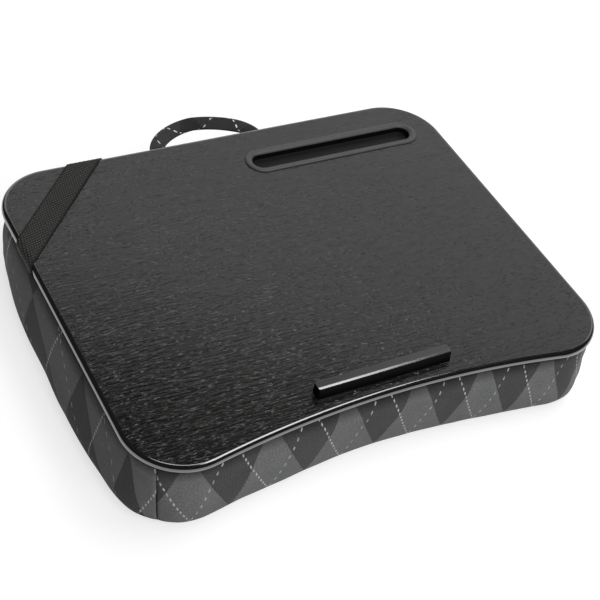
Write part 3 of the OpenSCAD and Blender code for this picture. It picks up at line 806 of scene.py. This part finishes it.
def baseCloth():
    finish = Finish("base_cloth")
    place = finish.uv()
    u, v = finish.split(place)[:2]
    weave = ((u * 2200).math("SINE") * (v * 2200).math("SINE")) * 0.5 + 0.5
    melange = finish.noise(place, 900, 2, 0.7)
    shade = finish.band(melange, 0.3, 0.7, 0.75, 1.25)
    toned = finish.shade((0.022, 0.022, 0.023), shade)
    return finish.finish(Base_Color=toned, Roughness=0.9, Specular_IOR_Level=0.2,
                         Normal=finish.bump(weave + melange * 0.4, 0.00025, 0.5))


def makeCushion():
    bm, spot, row = coverBlank()
    swellCover(bm, spot, row)
    fillLowEdge(bm, spot, row)
    shapeCover(bm, spot, row)
    cutPanels(bm, spot, row)
    bm.free()


makeCushion()
print("cushion is made")


# strap, two halves that meet in the middle

strap = {
    "width": 0.024, "thick": 0.0015, "crossX": 0.132, "crossY": 0.078, "tail": 0.024, "lift": 0.0001,
    "along": 96, "across": 8, "twill": -31, "row": 0.0026, "float": 0.0024,
    "selvedge": 0.0016, "cord": 0.0009, "edgeRound": 0.0004, "blendRun": 0.012,
}


def wrapped(x, y, side):
    # a flat point that has gone past the edge is rolled round the board and on under it
    limit = (halfW if side == "left" else halfD) - halfThick
    past = (-x if side == "left" else y) - limit
    if past <= 0:
        return Vector((x, y, topZ + strap["lift"]))
    arc = math.pi * halfThick
    if past < arc:
        a = past / halfThick
        out, z = limit + halfThick * math.sin(a), underZ + halfThick + halfThick * math.cos(a)
    else:
        out, z = limit - (past - arc), underZ - strap["lift"]
    return Vector((-out, y, z)) if side == "left" else Vector((x, out, z))


def wovenElastic():
    finish = Finish("woven_elastic")
    place = finish.uv()
    u, v = finish.split(place)[:2]
    # twill rows run slantwise, each a chain of short floats
    lean = math.radians(strap["twill"])
    along, across = u * math.cos(lean) + v * math.sin(lean), v * math.cos(lean) - u * math.sin(lean)
    row = across / strap["row"]
    number = row.math("FLOOR")
    crest = row.hump()
    chain = (along / strap["float"] + number * 0.5).hump()
    fleck = finish.noise(place, 1300, 2)
    middle = v.math("ABSOLUTE") < (strap["width"] / 2 - strap["selvedge"])
    bright = finish.band(crest, 0.45, 0.95) * finish.band(chain, 0.35, 0.9) * finish.band(fleck, 0.3, 0.65) * middle
    cord = (v / strap["cord"]).hump()
    colour = finish.blend((0.012, 0.0115, 0.0112, 1), (0.115, 0.112, 0.106, 1), bright)
    return finish.finish(Base_Color=colour, Roughness=0.75, Specular_IOR_Level=0.35,
                         Normal=finish.bump(crest * chain + cord * 0.25, 0.0004, 0.8))


def makeStrapHalf(name, side, replaced, finish):
    back = Vector((-strap["crossX"], halfD))
    left = Vector((-halfW, strap["crossY"]))
    way = (back - left).normalized()
    middle = (back + left) / 2
    outward = way if side == "back" else -way
    cross = Vector((-outward.y, outward.x))
    slant = abs(outward.y if side == "back" else outward.x)
    length = (back - left).length / 2 + (math.pi * halfThick - halfThick + strap["tail"]) / slant
    bm = bmesh.new()
    bmesh.ops.create_grid(bm, x_segments=strap["along"], y_segments=strap["across"], size=1)
    uv = bm.loops.layers.uv.new("cut")
    sign = 1 if side == "back" else -1
    for face in bm.faces:
        for loop in face.loops:
            loop[uv].uv = ((loop.vert.co.x + 1) / 2 * length * sign, loop.vert.co.y * strap["width"] / 2 * sign)
    for vert in bm.verts:
        along = (vert.co.x + 1) / 2 * length
        across = vert.co.y * strap["width"] / 2
        flat = middle + outward * along + cross * across
        vert.co = wrapped(flat.x, flat.y, side)
        vert.co.y += middleY
    bmesh.ops.recalc_face_normals(bm, faces=bm.faces[:])
    topFace = max(bm.faces, key=lambda f: f.calc_center_median().z)
    if topFace.normal.z < 0:
        bmesh.ops.reverse_faces(bm, faces=bm.faces[:])
    piece = newPiece(name, bm, finish)
    addModifier(piece, "SOLIDIFY", thickness=strap["thick"], offset=1)
    addModifier(piece, "BEVEL", width=strap["edgeRound"], segments=2, limit_method="ANGLE")
    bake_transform(piece)
    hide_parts(*replaced)


elastic = wovenElastic()
makeStrapHalf("strap_back_half", "back", ["strap_back_end", "elastic_strap"], elastic)
makeStrapHalf("strap_side_half", "left", ["strap_side_end"], elastic)
print("strap is made")


# handle, one padded ribbon from tab to tab

handle = {
    "width": 0.014, "thick": 0.0026, "reach": 0.0365, "point": 1.25, "droop": 0.005,
    "tilt": 25, "tiltShare": 0.25, "along": 120, "around": 16, "endThick": 0.0016, "turnBehind": 0.00105,
    "aheadShare": 0.004, "flatWide": 0.45, "flatDeep": 0.7,
    "light": (0.037, 0.0355, 0.035, 1), "dark": (0.024, 0.023, 0.023, 1),
}
turnY = leftTabHigh.y + handle["turnBehind"]
turnZ = (leftTabLow.z + leftTabHigh.z) / 2
handleX = (leftTabLow.x + rightTabHigh.x) / 2
handleHalf = (rightTabLow.x + rightTabHigh.x) / 2 - handleX


def loopPoint(u):
    a = math.pi * u
    c, s = math.cos(a), max(math.sin(a), 0)
    return Vector((handleX - handleHalf * math.copysign(abs(c) ** handle["point"], c),
                   turnY + handle["reach"] * s ** handle["point"], turnZ - handle["droop"] * s * s))


def makeHandle():
    tab = turnY - leftTabLow.y
    loopLength = sum((loopPoint((i + 1) / 100) - loopPoint(i / 100)).length for i in range(100))
    total = loopLength + 2 * tab
    endThick = handle["endThick"]

    def frameAt(run):
        if run < tab or run > total - tab:
            side = -1 if run < tab else 1
            back = run if run < tab else total - run
            place = Vector((handleX + side * handleHalf, leftTabLow.y + back, turnZ))
            ahead = Vector((0, 1 if side < 0 else -1, 0))
            return place, ahead, 0, endThick
        u = (run - tab) / loopLength
        step = handle["aheadShare"]
        ahead = (loopPoint(min(1, u + step)) - loopPoint(max(0, u - step))).normalized()
        ease = easeIn(min(u, 1 - u) / handle["tiltShare"])
        return loopPoint(u), ahead, handle["tilt"] * ease, endThick + (handle["thick"] - endThick) * ease
    bm = bmesh.new()
    bmesh.ops.create_grid(bm, x_segments=handle["along"], y_segments=handle["around"], size=1)
    uv = bm.loops.layers.uv.new("cut")
    for face in bm.faces:
        for loop in face.loops:
            turn = (loop.vert.co.y + 1) / 2
            across = abs(turn * 2 - 1)
            loop[uv].uv = ((across + (1 if turn > 0.5 else 0)) * handle["width"], (loop.vert.co.x + 1) / 2 * total)
    for vert in bm.verts:
        place, ahead, tilt, thick = frameAt((vert.co.x + 1) / 2 * total)
        flat = Vector((ahead.y, -ahead.x, 0)).normalized()
        wide = flat * math.cos(math.radians(tilt)) - Vector((0, 0, 1)) * math.sin(math.radians(tilt))
        deep = wide.cross(ahead)
        a = math.pi * (vert.co.y + 1)
        c, s = math.cos(a), math.sin(a)
        w = math.copysign(abs(c) ** handle["flatWide"], c) * handle["width"] / 2
        d = math.copysign(abs(s) ** handle["flatDeep"], s) * thick / 2
        vert.co = place + wide * w + deep * d
    bmesh.ops.remove_doubles(bm, verts=bm.verts[:], dist=1e-6)
    ends = [e for e in bm.edges if len(e.link_faces) == 1]
    bmesh.ops.holes_fill(bm, edges=ends)
    bmesh.ops.recalc_face_normals(bm, faces=bm.faces[:])
    # painted shade: the handle's light and dark are the cover's argyle toned far darker, for the shade the handle
    # lies in
    piece = newPiece("carry_handle", bm, argyleCloth("handle_cloth_shaded", handle["light"], handle["dark"], 0.55, 0.6))
    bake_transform(piece)
    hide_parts("handle_loop", "handle_left_tab", "handle_right_tab")


makeHandle()
print("handle is made")


# phone slot tray

tray = {
    "mouth": 0.009, "flange": 0.0016, "wall": 0.0012, "steps": 16,
    "foot": 0.0002, "footRound": 0.001, "lipLow": 0.0006, "lipWide": 0.0009, "lipHigh": 0.0004,
    "crown": (0.0042, 0.0018), "shoulder": (0.0006, 0.72), "skirt": 0.0003, "seat": 0.00005,
    "edgeRound": 0.0003, "paintedShadeBelow": 0.0004,
}


def satinPlastic():
    finish = Finish("satin_plastic")
    place = finish.coords()
    stipple = finish.noise(place, 2400, 2)
    cloud = finish.noise(place, 30, 2)
    tone = finish.blend((0.05, 0.047, 0.047, 1), (0.06, 0.056, 0.056, 1), cloud)
    return finish.finish(Base_Color=tone, Roughness=finish.band(cloud, 0.3, 0.7, 0.42, 0.5),
                         Normal=finish.bump(stipple, 0.00005, 0.5))


def makeTray():
    radius = (trayHigh.y - trayLow.y) / 2
    y = (trayHigh.y + trayLow.y) / 2
    left, right = trayLow.x + radius, trayHigh.x - radius
    mouth, flange, wall, foot, seat = tray["mouth"], tray["flange"], tray["wall"], tray["footRound"], tray["seat"]
    floorZ = underZ + tray["foot"]
    inner, outer = tray["crown"]
    shoulder, shoulderHigh = tray["shoulder"]
    profile = [(mouth - foot, floorZ + wall), (mouth, floorZ + wall + foot), (mouth, topZ - tray["lipLow"]),
               (mouth + tray["lipWide"], topZ + tray["lipHigh"]), (radius - inner, topZ + flange),
               (radius - outer, topZ + flange), (radius - shoulder, topZ + flange * shoulderHigh),
               (radius, topZ + tray["skirt"]), (radius, topZ + seat), (mouth + wall, topZ + seat),
               (mouth + wall, floorZ), (mouth - foot, floorZ)]
    bm = bmesh.new()
    verts = [bm.verts.new((right, y - r, z)) for r, z in profile]
    ring = [bm.edges.new(pair) for pair in zip(verts, verts[1:])]
    geom = verts + ring
    for centre, travel in ((right, left - right), (left, right - left)):
        spun = bmesh.ops.spin(bm, geom=geom, cent=(centre, y, 0), axis=(0, 0, 1), angle=math.pi,
                              steps=tray["steps"], use_merge=False)
        moved = bmesh.ops.extrude_edge_only(bm, edges=edgesOf(spun["geom_last"]))
        shifted = vertsOf(moved["geom"])
        bmesh.ops.translate(bm, verts=shifted, vec=(travel, 0, 0))
        geom = shifted + [e for e in edgesOf(moved["geom"]) if all(v in shifted for v in e.verts)]
    bmesh.ops.remove_doubles(bm, verts=bm.verts[:], dist=1e-6)
    rims = [e for e in bm.edges if len(e.link_faces) == 1]
    bmesh.ops.holes_fill(bm, edges=rims)
    bmesh.ops.recalc_face_normals(bm, faces=bm.faces[:])
    soft = [e for e in bm.edges if e.calc_face_angle(0) > 0.5 and min(v.co.z for v in e.verts) > topZ - 0.001]
    bmesh.ops.bevel(bm, geom=soft, offset=tray["edgeRound"], segments=2, profile=0.5, affect="EDGES", material=-1)
    # painted shade: the faces below the flange are coloured near black for the shade inside a deep slot
    for face in bm.faces:
        face.material_index = 1 if face.calc_center_median().z < topZ - tray["paintedShadeBelow"] else 0
    inside = Finish("slot_inside_shade")
    stipple = inside.noise(inside.coords(), 1500, 2)
    inside.finish(Base_Color=grey(0.004), Roughness=0.6, Specular_IOR_Level=0.3,
                  Normal=inside.bump(stipple, 0.00008, 0.5))
    piece = newPiece("phone_slot_ring", bm, satinPlastic(), inside.material)
    piece.data.set_sharp_from_angle(angle=math.radians(40))
    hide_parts("phone_slot_tray")
    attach(piece, "desk")


makeTray()
print("tray is made")


# device ledge

ledge = {
    "lean": 0.0022, "chamferWide": 0.0018, "chamferHigh": 0.0006, "step": 0.0004, "endRadius": 0.0022,
    "ridge": (0.0005, 0.0009), "uprightFrom": 0.004, "noseRound": 0.0003, "topFacing": 0.985, "edgeFacing": 0.55,
}


def ledgePlastic(name, tone, rough, specular, ior=1.5):
    finish = Finish(name)
    place = finish.coords()
    stipple = finish.noise(place, 1800, 2)
    cloud = finish.noise(place, 40, 2)
    return finish.finish(Base_Color=finish.blend(grey(tone * 0.85), grey(tone * 1.15), cloud),
                         Roughness=finish.band(cloud, 0.3, 0.7, rough, rough + 0.06),
                         Specular_IOR_Level=specular, IOR=ior, Normal=finish.bump(stipple, 0.00004, 0.3))


def makeLedge():
    depth = ledgeHigh.y - ledgeLow.y
    height = ledgeHigh.z - topZ
    lean, low, ridge = ledge["lean"], height - ledge["step"], ledge["lean"] + ledge["chamferWide"]
    ridgeTop, ridgeFoot = ledge["ridge"]
    profile = [(0, 0), (depth, 0), (depth, low), (ridge + ridgeFoot, low),
               (ridge + ridgeTop, height), (ridge, height), (lean, height - ledge["chamferHigh"])]
    bm = bmesh.new()
    verts = [bm.verts.new((ledgeLow.x, ledgeLow.y + y, topZ + z)) for y, z in profile]
    face = bm.faces.new(verts)
    made = bmesh.ops.extrude_face_region(bm, geom=[face])
    bmesh.ops.translate(bm, verts=vertsOf(made["geom"]), vec=(ledgeHigh.x - ledgeLow.x, 0, 0))
    bmesh.ops.recalc_face_normals(bm, faces=bm.faces[:])
    upright = [e for e in bm.edges if abs(e.verts[0].co.x - e.verts[1].co.x) < 1e-6
               and abs(e.verts[0].co.z - e.verts[1].co.z) > ledge["uprightFrom"]]
    bmesh.ops.bevel(bm, geom=upright, offset=ledge["endRadius"], segments=5, profile=0.5, affect="EDGES",
                    clamp_overlap=True, material=-1)
    nose = [e for e in bm.edges if all(v.co.z > topZ + height * 0.8 for v in e.verts) and e.calc_face_angle(0) > 0.5]
    bmesh.ops.bevel(bm, geom=nose, offset=ledge["noseRound"], segments=3, profile=0.5, affect="EDGES",
                    clamp_overlap=True, material=-1)
    # painted light and shade: the one plastic bar is toned by facing, the top a lighter grey and the front face near
    # black with its reflection turned down; the edge finish reflects more, for a bright highlight line
    for face in bm.faces:
        up = face.normal.z
        face.material_index = 0 if up > ledge["topFacing"] else 2 if up > ledge["edgeFacing"] else 1
    piece = newPiece("ledge_bar", bm, ledgePlastic("ledge_top_lit", 0.026, 0.16, 0.6),
                     ledgePlastic("ledge_front_shaded", 0.003, 0.4, 0.05), ledgePlastic("ledge_edge_highlight", 0.02, 0.12, 0.5, 2.0))
    piece.data.set_sharp_from_angle(angle=math.radians(35))
    addModifier(piece, "WEIGHTED_NORMAL", keep_sharp=True, weight=100)
    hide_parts("device_ledge")
    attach(piece, "desk")


makeLedge()
print("ledge is made")


# finishes of the CAD nodes that stay

def brightSteel():
    finish = Finish("bright_steel")
    brushed = finish.noise(finish.coords(scale=(1, 1, 12)), 400, 2)
    return finish.finish(Base_Color=(0.55, 0.55, 0.56, 1), Metallic=1.0,
                         Roughness=finish.band(brushed, 0.3, 0.7, 0.2, 0.38))


def liningCloth():
    finish = Finish("lining_cloth")
    fibre = finish.noise(finish.coords(), 700, 3, 0.7)
    tone = finish.blend(grey(0.022), grey(0.042), fibre)
    return finish.finish(Base_Color=tone, Roughness=0.92, Normal=finish.bump(fibre, 0.0002, 0.5))


steel, lining = brightSteel(), liningCloth()
for name in ("ledge_screws", "strap_staples", "handle_staples", "cover_staples", "cushion_lining"):
    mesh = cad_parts[name].data
    mesh.materials.clear()
    mesh.materials.append(lining if name == "cushion_lining" else steel)
